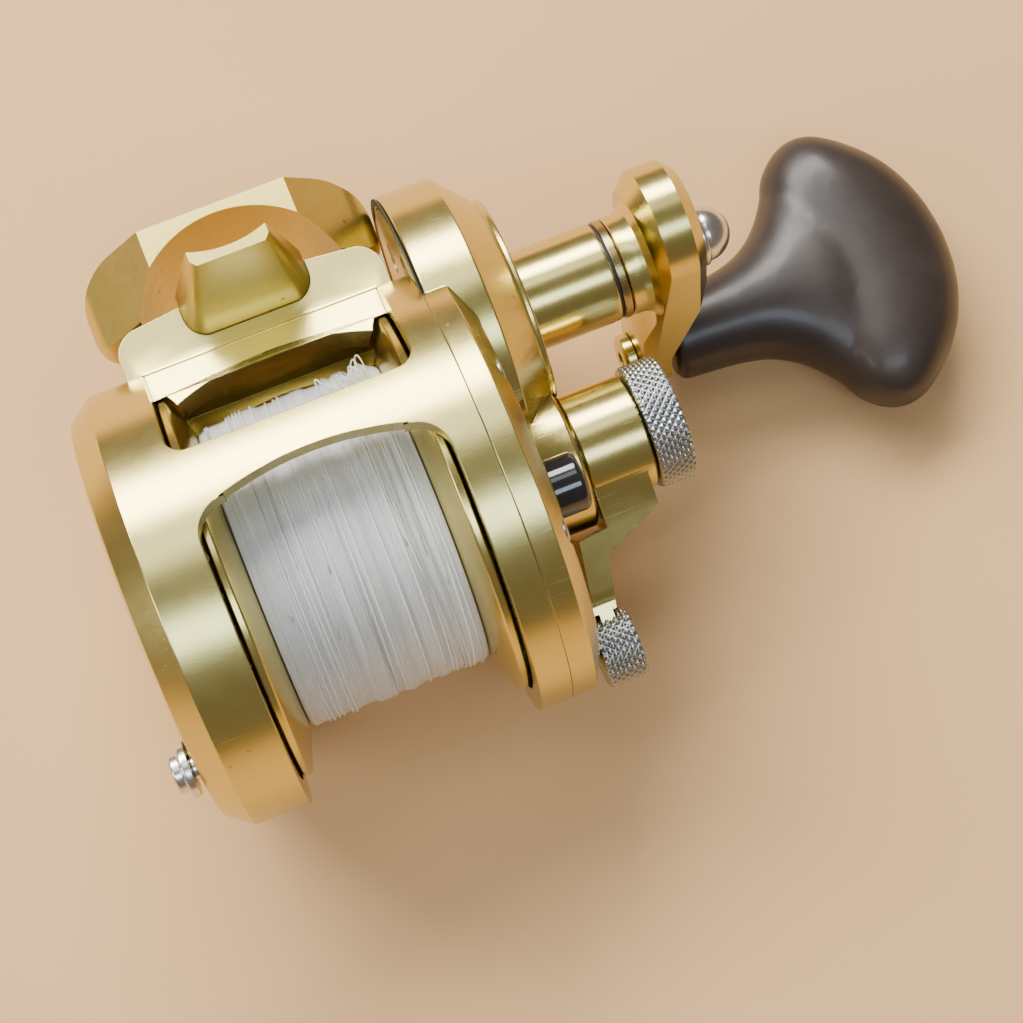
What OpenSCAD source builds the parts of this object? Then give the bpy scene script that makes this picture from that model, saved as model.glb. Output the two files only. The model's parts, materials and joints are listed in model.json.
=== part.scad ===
// Lever drag trolling reel, lying on its side plates.
// X runs along the spool axis to the handle side, Y towards the rod foot, Z up.
// The origin is on the spool axis, midway between the two frame rings.

/* [Frame] */
// Outer radius of both frame rings
ring_r = 36; // [35.5:0.1:36.5]
// Half of the clear width between the rings
window_half = 19.3; // [19.2:0.1:19.4]
// Radius of the bore that the spool turns in
bore_r = 32.2; // [32:0.1:32.4]
// Station where the rim of the left plate turns into its bevel
left_rim_x = -28.4; // [-29:0.1:-28]
// Station of the left plate's outer face
left_face_x = -33.2; // [-33.6:0.1:-33]
// Station of the joint between frame and right side plate
split_x = 24.5; // [24.4:0.1:24.6]

/* [Rod foot and clamp] */
// Length of the rod foot along the rod
foot_length = 64; // [60:1:66]
// Radius of the saddle in the rod foot
saddle_r = 17; // [16:0.5:18]
// Radius of the arch under the rod clamp
arch_r = 18.2; // [18:0.1:18.4]
// Height of the clamp's outer face above the spool axis
clamp_top = 56; // [55.8:0.1:56.5]

/* [Right side plate] */
// Station of the plate's outer face
plate_face_x = 31; // [30.8:0.1:31.2]
// Radius of the gear housing around the handle shaft
housing_r = 24.2; // [24.1:0.1:24.4]
// Station of the gear housing's outer face
housing_face_x = 40.2; // [40.1:0.1:40.4]

/* [Gear train] */
// Module of the gear pair
gear_module = 0.75; // [0.75:0.75:0.75]
// Teeth on the main gear
main_teeth = 57; // [57:1:57]
// Teeth on the pinion
pinion_teeth = 13; // [13:1:13]
// Rise of the handle shaft above the foot plane, in degrees about the spool axis
post_tilt = 3.08; // [2.9:0.02:3.2]

/* [Spool] */
// Radius of the spool's rims
flange_r = 31.8; // [31.5:0.1:31.8]
// Radius of the wound line
line_r = 26; // [20:0.5:27]

/* [Handle] */
// Radius of the handle post's sleeve
post_r = 8.35; // [8.2:0.05:8.5]
// Length of the T grip's cross bar
grip_length = 52.6; // [50:0.1:53]
// Thickness of the T grip
grip_thick = 19.2; // [18:0.1:19.2]

/* [Drag lever] */
// Radius of the lever's hub
hub_r = 9.57; // [9.4:0.01:9.7]
// Distance from the spool axis to the lever's knob
lever_reach = 31.5; // [31:0.1:32]
// Direction of the lever about the spool axis, 0 is up and 90 is the foot
lever_dir = -108; // [-112:1:-106]

/* [Hidden] */

gold = "darkkhaki";
steel = "silver";
dark = "dimgray";

fit = 0.05;              // radial gap of a running shaft
gap = 0.3;               // gap between parts that pass each other
shaft_r = 3;             // spool shaft
axle_r = 3.5;            // handle shaft
centre = gear_module * (main_teeth + pinion_teeth) / 2;
post_y = centre * cos(post_tilt);
post_z = centre * sin(post_tilt);
block_half = 14;         // half length of the foot block and of the clamp along the rod
block_top = 42;          // height of the foot block
screw_ring = 29.5;       // radius of the side plate screws
screw_dirs = [16, -32, -80, -128, -176, 158];
stud_x = 18.6;
stud_r = 2.4;
grip_y = 19;             // grip axle
grip_z = -26;
grip_x0 = 65.6;          // inner end of the grip
arm_x0 = 62;             // handle arm at the post
arm_x1 = 71.6;           // its outer face
head_y = post_y + 3.6;   // centre of the arm's round head
head_z = post_z + 0.6;
head_r = 10.6;
arm_end_x0 = 59.4;       // handle arm at the grip
arm_end_x1 = 64.2;
lever_y = lever_reach * sin(lever_dir);
lever_z = lever_reach * cos(lever_dir);
knob_r = 6;
strike_y = -8;
strike_z = 16;
strike_r = 4.7;
click_dir = -65;
click_ring = 29.3;
pawl_r = 23;             // distance of the click pawl's pin from the spool axis

// ---------- shapes used again ----------

// Puts children that stand along Z onto the line through (y, z) along X.
module along_x(x0, y = 0, z = 0) {
    translate([x0, y, z]) rotate([0, 90, 0]) children();
}

module rod_x(x0, x1, r, y = 0, z = 0) {
    along_x(x0, y, z) cylinder(h = x1 - x0, r = r, $fn = 96);
}

module cone_x(x0, x1, r0, r1, y = 0, z = 0) {
    along_x(x0, y, z) cylinder(h = x1 - x0, r1 = r0, r2 = r1, $fn = 96);
}

// A turned part: points are [radius, x].
module turned(points, y = 0, z = 0) {
    along_x(0, y, z) rotate_extrude($fn = 128) polygon(points);
}

module ring_x(x0, x1, r0, r1, y = 0, z = 0) {
    turned([[r0, x0], [r1, x0], [r1, x1], [r0, x1]], y, z);
}

// A ring with softened outer corners and a shallow groove in its face, as a sealed bearing has.
module bearing(x0, x1, r0, r1, y = 0, z = 0) {
    c = 0.3;
    g = 0.25;
    m0 = r0 + (r1 - r0) * 0.3;
    m1 = r0 + (r1 - r0) * 0.7;
    turned([[r0, x0], [m0, x0], [m0, x0 + g], [m1, x0 + g], [m1, x0], [r1 - c, x0], [r1, x0 + c],
        [r1, x1 - c], [r1 - c, x1], [m1, x1], [m1, x1 - g], [m0, x1 - g], [m0, x1], [r0, x1]], y, z);
}

// Places children at radius r from the spool axis, in direction dir about it.
module at_dir(r, dir) {
    translate([0, r * sin(dir), r * cos(dir)]) children();
}

// Extrudes an outline drawn in the (x, y) plane along Z, from z0 to z1.
module slab_z(z0, z1) {
    translate([0, 0, z0]) linear_extrude(height = z1 - z0) children();
}

function involute(a) = tan(a) * 180 / PI - a;
function arc(cx, cy, r, a0, a1, steps) =
    [for (i = [0 : steps]) let (a = a0 + (a1 - a0) * i / steps) [cx + r * cos(a), cy + r * sin(a)]];

// Half the angle that a tooth takes up at radius r.
function tooth_half(r, pitch_r, base_r) =
    (90 - 4) * gear_module / (2 * pitch_r)
    + involute(20) - involute(acos(min(1, base_r / max(r, base_r))));

// Outline of a spur gear with one tooth centred on +Y, turned by turn.
module gear_outline(teeth, addendum, dedendum, turn) {
    pitch_r = teeth * gear_module / 2;
    base_r = pitch_r * cos(20);
    root_r = pitch_r - dedendum;
    tip_r = pitch_r + addendum;
    radii = [root_r, max(base_r, root_r + 0.05), pitch_r, (pitch_r + tip_r) / 2, tip_r];
    rotate(turn) polygon([for (t = [0 : teeth - 1]) for (side = [-1, 1]) for (k = [0 : 4])
        let (r = radii[side < 0 ? k : 4 - k])
        let (a = 90 + t * 360 / teeth + side * tooth_half(r, pitch_r, base_r))
        [r * cos(a), r * sin(a)]]);
}

// A round wire wound into a coil along X.
module coil_x(x0, x1, r, wire, turns, y = 0, z = 0) {
    steps = 18;
    sides = 6;
    n = turns * steps;
    pitch = (x1 - x0 - 2 * wire) / n;
    points = [for (i = [0 : n]) for (k = [0 : sides - 1])
        let (a = i * 360 / steps)
        let (b = k * 360 / sides)
        [x0 + wire + i * pitch + wire * sin(b), y + (r + wire * cos(b)) * cos(a),
            z + (r + wire * cos(b)) * sin(a)]];
    faces = concat([[for (k = [0 : sides - 1]) k]],
        [for (i = [0 : n - 1]) for (k = [0 : sides - 1])
            [i * sides + k, (i + 1) * sides + k, (i + 1) * sides + (k + 1) % sides,
                i * sides + (k + 1) % sides]],
        [[for (k = [sides - 1 : -1 : 0]) n * sides + k]]);
    polyhedron(points, faces, convexity = 8);
}

// A screw head with a hexagon socket, its face at x1, on the line through (y, z).
module socket_screw_x(x0, x1, r, head_r, head_h, y, z) {
    difference() {
        union() {
            rod_x(x0, x1 - head_h + 0.01, r, y, z);
            rod_x(x1 - head_h, x1 - 0.3, head_r, y, z);
            cone_x(x1 - 0.3, x1, head_r, head_r - 0.3, y, z);
        }
        along_x(x1 - head_h * 0.6, y, z) cylinder(h = head_h, r = head_r * 0.5, $fn = 6);
    }
}

// ---------- frame ----------

// Outline of one long bar, seen from +Z: it flares into the rings with round corners.
module bar_outline() {
    far = 13.6;
    near = 6.9;
    side = window_half + 4;
    corner = 5.5;
    difference() {
        translate([-side, -12]) square([2 * side, far + 12 + 6]);
        // the small window, on the foot's side
        difference() {
            translate([-window_half, far]) square([2 * window_half, 30]);
            for (s = [-1, 1]) translate([s * (window_half - 3), far + 3]) difference() {
                translate([s * 1.55 - 1.55, -3.1]) square(3.1);
                circle(r = 3, $fn = 48);
            }
        }
        // the open side, under a shallow arch with round corners
        difference() {
            translate([-window_half, -13]) square([2 * window_half, 13 + near]);
            difference() {
                translate([-window_half - 1, 0]) square([2 * window_half + 2, near + 1]);
                translate([0, near - 46]) circle(r = 46, $fn = 240);
            }
            for (s = [-1, 1]) translate([s * (window_half - corner), 4.4 - corner]) difference() {
                translate([s * (corner / 2 + 0.05) - corner / 2 - 0.05, 0]) square(corner + 0.1);
                circle(r = corner, $fn = 64);
            }
        }
    }
}

// The block that carries the rod foot, outlined in the (x, y) plane.
module block_outline() {
    half = 22;
    r = 4.5;
    polygon(concat([[-half, 20], [half, 20]], arc(half - r, block_top - 1 - r, r, 0, 75, 8),
        [[8, block_top], [-8, block_top]], arc(r - half, block_top - 1 - r, r, 105, 180, 8)));
}

module frame_solid() {
    difference() {
        union() {
            turned([[0, left_face_x], [27, left_face_x], [33, -32.4], [ring_r, left_rim_x],
                [ring_r, split_x], [0, split_x]]);
            slab_z(-block_half, block_half) block_outline();
        }
        // the spool's space
        rod_x(-27.6, split_x + 1, bore_r);
    }
}

// What the two bars and the foot block leave open between the rings.
module window_cut() {
    for (side = [0, 1]) mirror([0, 0, side]) slab_z(10, 60) intersection() {
        translate([-window_half - 1, -13]) square([2 * window_half + 2, 46]);
        difference() {
            translate([-window_half, -13]) square([2 * window_half, 46]);
            bar_outline();
        }
    }
    translate([-window_half, -60, -60]) cube([2 * window_half, 60 - 12.9, 120]);
}

// Lips under the foot block that end in a low arch over each small window.
module window_lips() {
    clear = flange_r + gap;
    for (side = [0, 1]) mirror([0, 0, side]) difference() {
        translate([-window_half - 0.2, 0, 0]) rotate([90, 0, 90])
            linear_extrude(height = 2 * window_half + 0.4)
            polygon([[34.5, block_half], [33.6, block_half], [25, 16.3], [25, 8], [34.5, 8]]);
        // clear of the spool's rims, and lower between them
        turned([[0, -20], [clear, -20], [clear, -17], [31, -16.2], [27.4, -15], [27.4, 15], [31, 16.4],
            [clear, 17.2], [clear, 20], [0, 20]]);
        translate([0, -11.3, 0]) cylinder(h = 20, r = 40.7, $fn = 160);
    }
}

module screw_lugs() {
    for (dir = screw_dirs) at_dir(screw_ring, dir) rod_x(20.2, split_x, 3.4);
}

module frame() {
    color(gold) difference() {
        union() {
            difference() {
                frame_solid();
                window_cut();
            }
            window_lips();
            screw_lugs();
            // the boss that holds the left bearing
            ring_x(-28, -24.2, 7, 11);
        }
        rod_x(-31.2, -24, 8);
        rod_x(-34, -30, 6.2);
        for (dir = screw_dirs) at_dir(screw_ring, dir) rod_x(20, split_x + 1, 1.5);
        // channel for the rod foot
        slab_z(-block_half - 1, block_half + 1) offset(delta = 0.04) foot_outline();
        for (s = [-1, 1]) {
            for (k = [-1, 1]) foot_screw_line(s, k) cylinder(h = 8, r = 1.5, $fn = 48);
            translate([s * stud_x, 33.2, 0]) rotate([-90, 0, 0]) cylinder(h = 12, r = stud_r, $fn = 64);
        }
        clicker_slot();
    }
}

// ---------- rod foot and clamp ----------

// Section of the foot where it leaves the block, in the (x, y) plane.
module foot_outline() {
    polygon(concat([[-10.4, block_top + 1.4]], arc(-6.4, 39.6, 4, 180, 255, 6),
        arc(6.4, 39.6, 4, 285, 360, 6), [[10.4, block_top + 1.4]]));
}

module foot_tip() {
    polygon([[-6.3, 43.2], [-6.3, 40.9], [-5.4, 39.9], [5.4, 39.9], [6.3, 40.9], [6.3, 43.2]]);
}

module foot_screw_line(s, k) {
    translate([s * 4.6, 31.8, k * 8.5]) rotate([-90, 0, 0]) children();
}

module rod_foot() {
    color(gold) difference() {
        hull() {
            slab_z(-block_half, block_half) foot_outline();
            slab_z(-foot_length / 2, foot_length / 2) foot_tip();
        }
        translate([0, 41.3 + saddle_r, -40]) cylinder(h = 80, r = saddle_r, $fn = 160);
        for (s = [-1, 1]) for (k = [-1, 1]) foot_screw_line(s, k) {
            cylinder(h = 20, r = 1.5, $fn = 48);
            translate([0, 0, 7.4]) cylinder(h = 5, r = 2.8, $fn = 48);
        }
    }
}

module foot_screws() {
    color(steel) for (s = [-1, 1]) for (k = [-1, 1]) foot_screw_line(s, k) difference() {
        union() {
            cylinder(h = 7.6, r = 1.46, $fn = 48);
            translate([0, 0, 7.4]) cylinder(h = 1.9, r = 2.7, $fn = 48);
        }
        translate([0, 0, 8.1]) cylinder(h = 3, r = 1.3, $fn = 6);
    }
}

// The clamp seen along the rod: a flat top that rounds down into two lugs.
module clamp_outline() {
    top = clamp_top;
    difference() {
        polygon(concat(arc(-22.4, 46, 2.8, 180, 270, 6), arc(21.1, 46, 2.8, 270, 360, 6),
            arc(16.7, top - 7.2, 7.2, 0, 90, 10), arc(-18, top - 7.2, 7.2, 90, 180, 10)));
        translate([0, 54.5 - arch_r]) circle(r = arch_r, $fn = 160);
    }
}

// The clamp seen from its outer face: full length in the middle, tapering to the lugs.
module clamp_plan() {
    polygon(concat([[-12.4, block_half]], arc(-19.2, 0, 6, 120, 240, 10),
        [[-12.4, -block_half], [12.4, -block_half]], arc(18.1, 0, 5.8, -60, 60, 10),
        [[12.4, block_half]]));
}

module rod_clamp() {
    color(gold) difference() {
        intersection() {
            slab_z(-block_half, block_half) clamp_outline();
            translate([0, 70, 0]) rotate([90, 0, 0]) linear_extrude(height = 40) clamp_plan();
        }
        for (s = [-1, 1]) translate([s * stud_x, 40, 0]) rotate([-90, 0, 0]) {
            cylinder(h = 20, r = stud_r + 0.1, $fn = 64);
            translate([0, 0, 8.6]) cylinder(h = 12, r = 4.3, $fn = 64);
        }
    }
}

module clamp_studs() {
    color(steel) for (s = [-1, 1]) translate([s * stud_x, 33.2, 0]) rotate([-90, 0, 0]) {
        cylinder(h = 18.6, r = stud_r, $fn = 64);
        translate([0, 0, 18.6]) cylinder(h = 0.8, r1 = stud_r, r2 = stud_r - 0.6, $fn = 64);
    }
}

module clamp_nuts() {
    color(steel) for (s = [-1, 1]) translate([s * stud_x, 48.6, 0]) rotate([-90, 0, 0])
        difference() {
            intersection() {
                cylinder(h = 2.8, r = 4.1, $fn = 6);
                cylinder(h = 2.8, r1 = 4.1, r2 = 3.5, $fn = 64);
            }
            translate([0, 0, -1]) cylinder(h = 5, r = stud_r, $fn = 64);
        }
}

// ---------- spool ----------

module spool() {
    rim = 19.2;
    color(gold) difference() {
        turned([[4.2, -rim], [12, -rim], [14, -18.4], [30.3, -18.4], [31, -rim], [flange_r, -rim + 0.4],
            [flange_r, -17.7], [31.4, -17.4], [25, -15.2], [14, -14.6], [12.5, -13],
            [12.5, 13], [14, 14.6], [25, 15.2], [31.4, 17.4], [flange_r, 17.7],
            [flange_r, rim - 0.4], [31, rim], [26.5, rim], [26.5, 18], [13, 18], [10.5, rim], [4.2, rim]]);
        rod_x(-20, -13.4, 7.5);
        rod_x(13.4, 20, 7.5);
    }
}

module fishing_line() {
    color("whitesmoke") turned([[12.55, -12.9], [14.05, -14.5], [line_r - 1.6, -15.1], [line_r - 0.6, -14.6],
        [line_r, -12.6], [line_r, 12.4], [line_r - 0.5, 14.2], [line_r - 1.6, 15.1], [14.05, 14.5],
        [12.55, 12.9]]);
}

module click_gear() {
    teeth = 24;
    color("goldenrod") difference() {
        along_x(-21) linear_extrude(height = 1.8) polygon([for (i = [0 : 4 * teeth - 1])
            let (r = i % 4 < 2 ? 12.2 : 10.9)
            let (a = i * 90 / teeth)
            [r * cos(a), r * sin(a)]]);
        rod_x(-22, -19, 7.6);
        for (a = [0 : 120 : 359]) at_dir(9.3, a) rod_x(-22, -19, 0.8);
    }
}

module spool_bearing_left() {
    color(steel) bearing(-18.2, -13.4, shaft_r + fit, 7.5);
}

module spool_bearing_right() {
    color(steel) bearing(13.4, 18.2, shaft_r + fit, 7.5);
}

module drag_washer() {
    color(dark) ring_x(18, 19.5, 13.2, 26.3);
}

// ---------- shaft, drag and pinion ----------

module spool_shaft() {
    color(steel) turned([[0, -28.9], [2.6, -28.9], [shaft_r, -28.5], [shaft_r, -23.4], [2.6, -23.4],
        [2.6, -22.7], [shaft_r, -22.7], [shaft_r, 48.6], [2.6, 49], [0, 49]]);
}

module shaft_bearing_left() {
    color(steel) bearing(-29, -24.4, shaft_r + fit, 8);
}

module shaft_circlip() {
    color(dark) along_x(-23.3) rotate_extrude(angle = 300, $fn = 72)
        translate([2.65, 0]) square([1.5, 0.5]);
}

module drag_disc() {
    color(steel) turned([[shaft_r, 19.8], [5.5, 19.8], [6.5, 20.4], [12.8, 20.4], [13.4, 19.6], [24.3, 19.6],
        [24.8, 20], [24.8, 21.2], [24.3, 21.6], [7, 21.6], [5.6, 22.6], [shaft_r, 22.6]]);
}

module drag_spring_washers() {
    color(dark) for (i = [0 : 1]) turned([[shaft_r + 0.1, 22.7 + i * 0.9], [5.4, 23 + i * 0.9],
        [5.4, 23.4 + i * 0.9], [shaft_r + 0.1, 23.1 + i * 0.9]]);
}

module pinion_gear() {
    color("goldenrod") rotate([post_tilt, 0, 0]) difference() {
        union() {
            rod_x(24.7, 27.01, 3.9);
            along_x(27) linear_extrude(height = 5)
                gear_outline(pinion_teeth, gear_module, gear_module * 1.15, 180 / pinion_teeth);
            rod_x(31.99, 38, 4);
        }
        rod_x(20, 40, shaft_r);
    }
}

module pinion_bearing() {
    color(steel) bearing(33, 37.6, 4 + fit, 9);
}

// ---------- right side plate ----------

module side_plate_body() {
    turned([[0, split_x], [ring_r, split_x], [ring_r, 28.4], [31.8, 30.7], [31, plate_face_x],
        [12.6, plate_face_x], [12, plate_face_x + 1], [12, 38.6], [11.4, 39.1], [0, 39.1]]);
    rod_x(plate_face_x - 1, plate_face_x + 0.8, strike_r + 1.1, strike_y, strike_z);
    turned([[0, split_x], [housing_r - 0.6, split_x], [housing_r, split_x + 0.6],
        [housing_r, 33.8], [18.4, 39], [18.2, 39.2], [18.2, housing_face_x - 0.2],
        [18, housing_face_x], [0, housing_face_x]], post_y, post_z);
}

module right_side_plate() {
    floor_x = 28.8;
    color(gold) difference() {
        side_plate_body();
        // room for the drag end of the spool and for the pinion
        rod_x(split_x - 1, floor_x, 26.8);
        rod_x(split_x - 1, 32.8, 9.5);
        rod_x(32.7, 37.8, 9);
        rod_x(37, 40, 6.4);
        // clearance for the lever's hub in the edge of the gear housing
        rod_x(39.2, 41, hub_r + gap);
        // room for the main gear and the ratchet
        turned([[0, split_x - 1], [22.5, split_x - 1], [22.5, 32.4], [16.6, 37.6], [0, 37.6]],
            post_y, post_z);
        rod_x(37, 41, post_r, post_y, post_z);
        for (dir = screw_dirs) at_dir(screw_ring, dir) {
            rod_x(20, 40, 1.7);
            rod_x(29.2, 40, 3.1);
        }
        for (k = [0, 1]) dog_axis(k) rod_x(30, 38.8, 1.2);
        // well for the strike button
        rod_x(29.5, 40, strike_r + 0.08, strike_y, strike_z);
    }
}

module bridge_plate() {
    color(gold) difference() {
        rod_x(split_x + 0.1, split_x + 1.9, 22.3, post_y, post_z);
        rod_x(20, 40, 6, post_y, post_z);
        rod_x(20, 40, 5.2);
        for (a = [-60, 0, 60]) translate([0, post_y + 15 * cos(a), post_z + 15 * sin(a)])
            rod_x(20, 40, 2.6);
    }
}

module side_plate_screws() {
    color(steel) for (dir = screw_dirs) {
        y = screw_ring * sin(dir);
        z = screw_ring * cos(dir);
        socket_screw_x(20.6, 30.8, 1.46, 2.9, 1.6, y, z);
    }
}

module handle_post() {
    color(gold) difference() {
        turned([[6.2, 37.7], [post_r, 37.7], [post_r, 55.4], [post_r - 0.3, 55.7], [6.2, 55.7]],
            post_y, post_z);
        rod_x(50.4, 56, 7, post_y, post_z);
    }
}

module gear_bearing_inner() {
    color(steel) bearing(split_x + 0.1, split_x + 2.1, axle_r + fit, 6, post_y, post_z);
}

module gear_bearing_outer() {
    color(steel) bearing(50.5, 55, axle_r + fit, 7, post_y, post_z);
}

// ---------- handle shaft, main gear and anti-reverse ----------

module main_gear() {
    color("goldenrod") difference() {
        translate([0, post_y, post_z]) rotate([post_tilt, 0, 0]) difference() {
            union() {
                along_x(27.2) linear_extrude(height = 4.4)
                    gear_outline(main_teeth, 0.6, gear_module * 1.2, 180);
            }
            ring_x(26, 28.2, 8, 18.6);
            ring_x(30.6, 33, 8, 18.6);
            for (a = [0 : 60 : 359]) at_dir(13.2, a) rod_x(26, 33, 2.8);
        }
        rod_x(20, 40, axle_r, post_y, post_z);
    }
}

module gear_shaft() {
    color(steel) turned([[0, 24.7], [axle_r - 0.3, 24.7], [axle_r, 25], [axle_r, 61.9],
        [2.9, 62], [2.9, 74], [0, 74]], post_y, post_z);
}

module ratchet_wheel() {
    teeth = 10;
    color(steel) difference() {
        along_x(32, post_y, post_z) linear_extrude(height = 1.8)
            polygon([for (i = [0 : teeth - 1]) for (p = [[9.2, 0], [9.2, 4], [7.4, 6], [7.7, 20]])
                [p[0] * cos(i * 36 + p[1]), p[0] * sin(i * 36 + p[1])]]);
        rod_x(30, 40, axle_r, post_y, post_z);
    }
}

// The two dogs pivot on opposite sides of the ratchet wheel.
module dog_axis(k) {
    translate([0, post_y, post_z]) rotate([k * 180 + 60, 0, 0]) translate([0, 13.4, 0]) children();
}

module dog(k) {
    color(steel) dog_axis(k) difference() {
        union() {
            rod_x(32.1, 33.7, 2.6);
            along_x(32.1) linear_extrude(height = 1.6)
                polygon([[-0.6, -2.4], [-6.2, -4.6], [-6.8, -3.6], [-1.8, 1.8]]);
        }
        rod_x(30, 40, 1.2 + fit);
    }
}

module dog_left() {
    dog(0);
}

module dog_right() {
    dog(1);
}

module dog_pins() {
    color(steel) for (k = [0, 1]) dog_axis(k) rod_x(31.6, 38.7, 1.2);
}

module dog_springs() {
    color(dark) for (k = [0, 1]) dog_axis(k) coil_x(34.1, 36.9, 1.8, 0.22, 4);
}

// ---------- handle ----------

module post_seal() {
    color(dark) ring_x(55.75, 56, axle_r + 0.1, post_r - 0.4, post_y, post_z);
}

module post_ring() {
    color(steel) turned([[axle_r, 56.05], [post_r - 0.2, 56.05], [post_r, 56.2], [post_r, 57.4],
        [post_r - 0.3, 57.6], [axle_r, 57.6]], post_y, post_z);
}

// The arm before it is cranked: a broad head on the post and a narrower grip end, with chamfered edges.
module arm_bar() {
    hull() {
        cone_x(arm_x0 - 0.2, arm_x0 + 2.6, head_r - 2.8, head_r, head_y, head_z);
        cone_x(arm_x1 - 2, arm_x1, head_r, head_r - 2, head_y, head_z);
        cone_x(arm_end_x0 - 0.2, arm_end_x0 + 1, 4.7, 5.9, grip_y, grip_z);
        cone_x(arm_x1 - 2, arm_x1, 5.9, 3.9, grip_y, grip_z);
    }
}

// Side view of the arm in the (z, x) plane: level at the post, cranked towards the grip.
module arm_side() {
    polygon([[16, arm_x0], [16, arm_x1 + 1], [-1, arm_x1 + 1], [-3.5, arm_x1 - 0.2], [-20, arm_end_x1],
        [-36, arm_end_x1], [-36, arm_end_x0], [-17, arm_end_x0], [-8, arm_x0]]);
}

module handle_arm() {
    color(gold) difference() {
        union() {
            intersection() {
                arm_bar();
                translate([0, 60, 0]) rotate([90, 0, 0]) linear_extrude(height = 80)
                    mirror([1, -1, 0]) arm_side();
            }
            // collar that flares from the post into the arm
            turned([[0, 57.7], [post_r - 0.2, 57.7], [post_r, 57.9], [post_r, 59.6], [8.8, 61],
                [9.9, 62.01], [0, 62.01]], post_y, post_z);
        }
        rod_x(50, 61.95, axle_r, post_y, post_z);
        rod_x(50, 80, 2.9, post_y, post_z);
        rod_x(50, 80, 2.6, grip_y, grip_z);
        rod_x(arm_x1 - 4, 80, 1.2, post_y - 2, post_z - 7.1);
    }
}

module handle_nut() {
    color(steel) difference() {
        turned(concat([[0, arm_x1 + 0.02], [4.9, arm_x1 + 0.02], [5.1, arm_x1 + 0.3],
            [5.1, arm_x1 + 0.9], [4.7, arm_x1 + 1.2]], arc(0, arm_x1 + 1.4, 4.6, 0, 90, 12)),
            post_y, post_z);
        rod_x(60, 74.05, 2.9, post_y, post_z);
    }
}

module handle_lock_screw() {
    color(steel) socket_screw_x(arm_x1 - 3.9, arm_x1 + 1.1, 1.16, 2, 1.1, post_y - 2, post_z - 7.1);
}

module grip_axle() {
    x0 = arm_end_x0;
    color(gold) difference() {
        turned([[0, x0 - 2.3], [3.6, x0 - 2.3], [4.2, x0 - 1.8], [4.2, x0 - 0.02], [2.6, x0 - 0.02],
            [2.6, 98], [0, 98]], grip_y, grip_z);
        along_x(x0 - 3, grip_y, grip_z) cylinder(h = 2.2, r = 1.6, $fn = 6);
    }
}

// Plan of the T grip in the (x, y) plane, about its own axis.
module grip_plan() {
    half = grip_length / 2;
    hull_r = 8.1;
    polygon(concat([[grip_x0, -7.4], [72, -7.7], [78.5, -8.6]],
        arc(79.6, -20.4, 12, 84, 30, 6),
        arc(99.4, -half + hull_r + 0.2, 8.6, 190, 292, 8),
        arc(79.6, 0, 39, -29, 29, 12),
        arc(99.4, half - hull_r - 0.2, 8.6, 68, 170, 8),
        arc(79.6, 20.4, 12, -30, -84, 6), [[78.5, 8.6], [72, 7.7], [grip_x0, 7.4]]));
}

// Section of the T grip in the (x, z) plane.
module grip_side() {
    t = grip_thick / 2;
    polygon(concat([[grip_x0, -7.4], [74, -7.7], [84, -8.3]], arc(98, 2.4, 12, 250, 280, 5),
        arc(104, 0, 14.6, -35, 35, 8), arc(98, -2.4, 12, 80, 110, 5),
        [[84, 8.3], [74, 7.7], [grip_x0, 7.4]]));
}

// End view of the T grip in the (y, z) plane.
module grip_end() {
    half = grip_length / 2;
    polygon(concat(arc(half - 8.2, 0, 8.2, -90, 90, 12), [[0, grip_thick / 2]],
        arc(8.2 - half, 0, 8.2, 90, 270, 12), [[0, -grip_thick / 2]]));
}

module grip() {
    color(dark) difference() {
        translate([0, grip_y, grip_z]) intersection() {
            translate([0, 0, -15]) linear_extrude(height = 30) grip_plan();
            translate([0, 40, 0]) rotate([90, 0, 0]) linear_extrude(height = 80) grip_side();
            translate([50, 0, 0]) rotate([90, 0, 90]) linear_extrude(height = 80) grip_end();
            // rounds the stem and flares it into the cross bar
            turned([[0, grip_x0], [7, grip_x0], [7.5, grip_x0 + 0.5], [7.9, 72], [9.2, 79], [12.5, 84],
                [20, 88], [34, 92], [34, 120], [0, 120]]);
        }
        rod_x(60, 101, 3.2, grip_y, grip_z);
        rod_x(60, 68.9, 5, grip_y, grip_z);
        rod_x(93, 101, 5, grip_y, grip_z);
    }
}

module grip_bushes() {
    color("goldenrod") {
        ring_x(grip_x0 + 0.2, 68.8, 2.65, 4.95, grip_y, grip_z);
        ring_x(93.1, 96, 2.65, 4.95, grip_y, grip_z);
    }
}

module axle_nut() {
    color(steel) difference() {
        along_x(96.3, grip_y, grip_z) cylinder(h = 2.4, r = 4.4, $fn = 6);
        rod_x(90, 100, 2.6, grip_y, grip_z);
    }
}

// ---------- drag lever ----------

// The lever's blade in the (y, z) plane, before it is turned to its direction: it points along +Y.
module blade_outline() {
    hull() {
        circle(r = 8.4, $fn = 64);
        translate([lever_reach - 10.8, 0]) circle(r = 4.4, $fn = 64);
    }
    translate([lever_reach - 11, -3]) square([13, 6]);
}

// Side view of the blade in the (y, x) plane.
module blade_side() {
    root = lever_reach - knob_r - 0.3;
    polygon([[0, 39.6], [12.4, 39.6], [12.9, 34.6], [root, 33], [root, 33.8], [lever_reach + 2, 33.8],
        [lever_reach + 2, 36.1], [root, 36.1], [root, 36.8], [16.6, 38.4], [11.8, 48.6], [0, 48.6]]);
}

module to_lever() {
    rotate([90 - lever_dir, 0, 0]) children();
}

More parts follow.
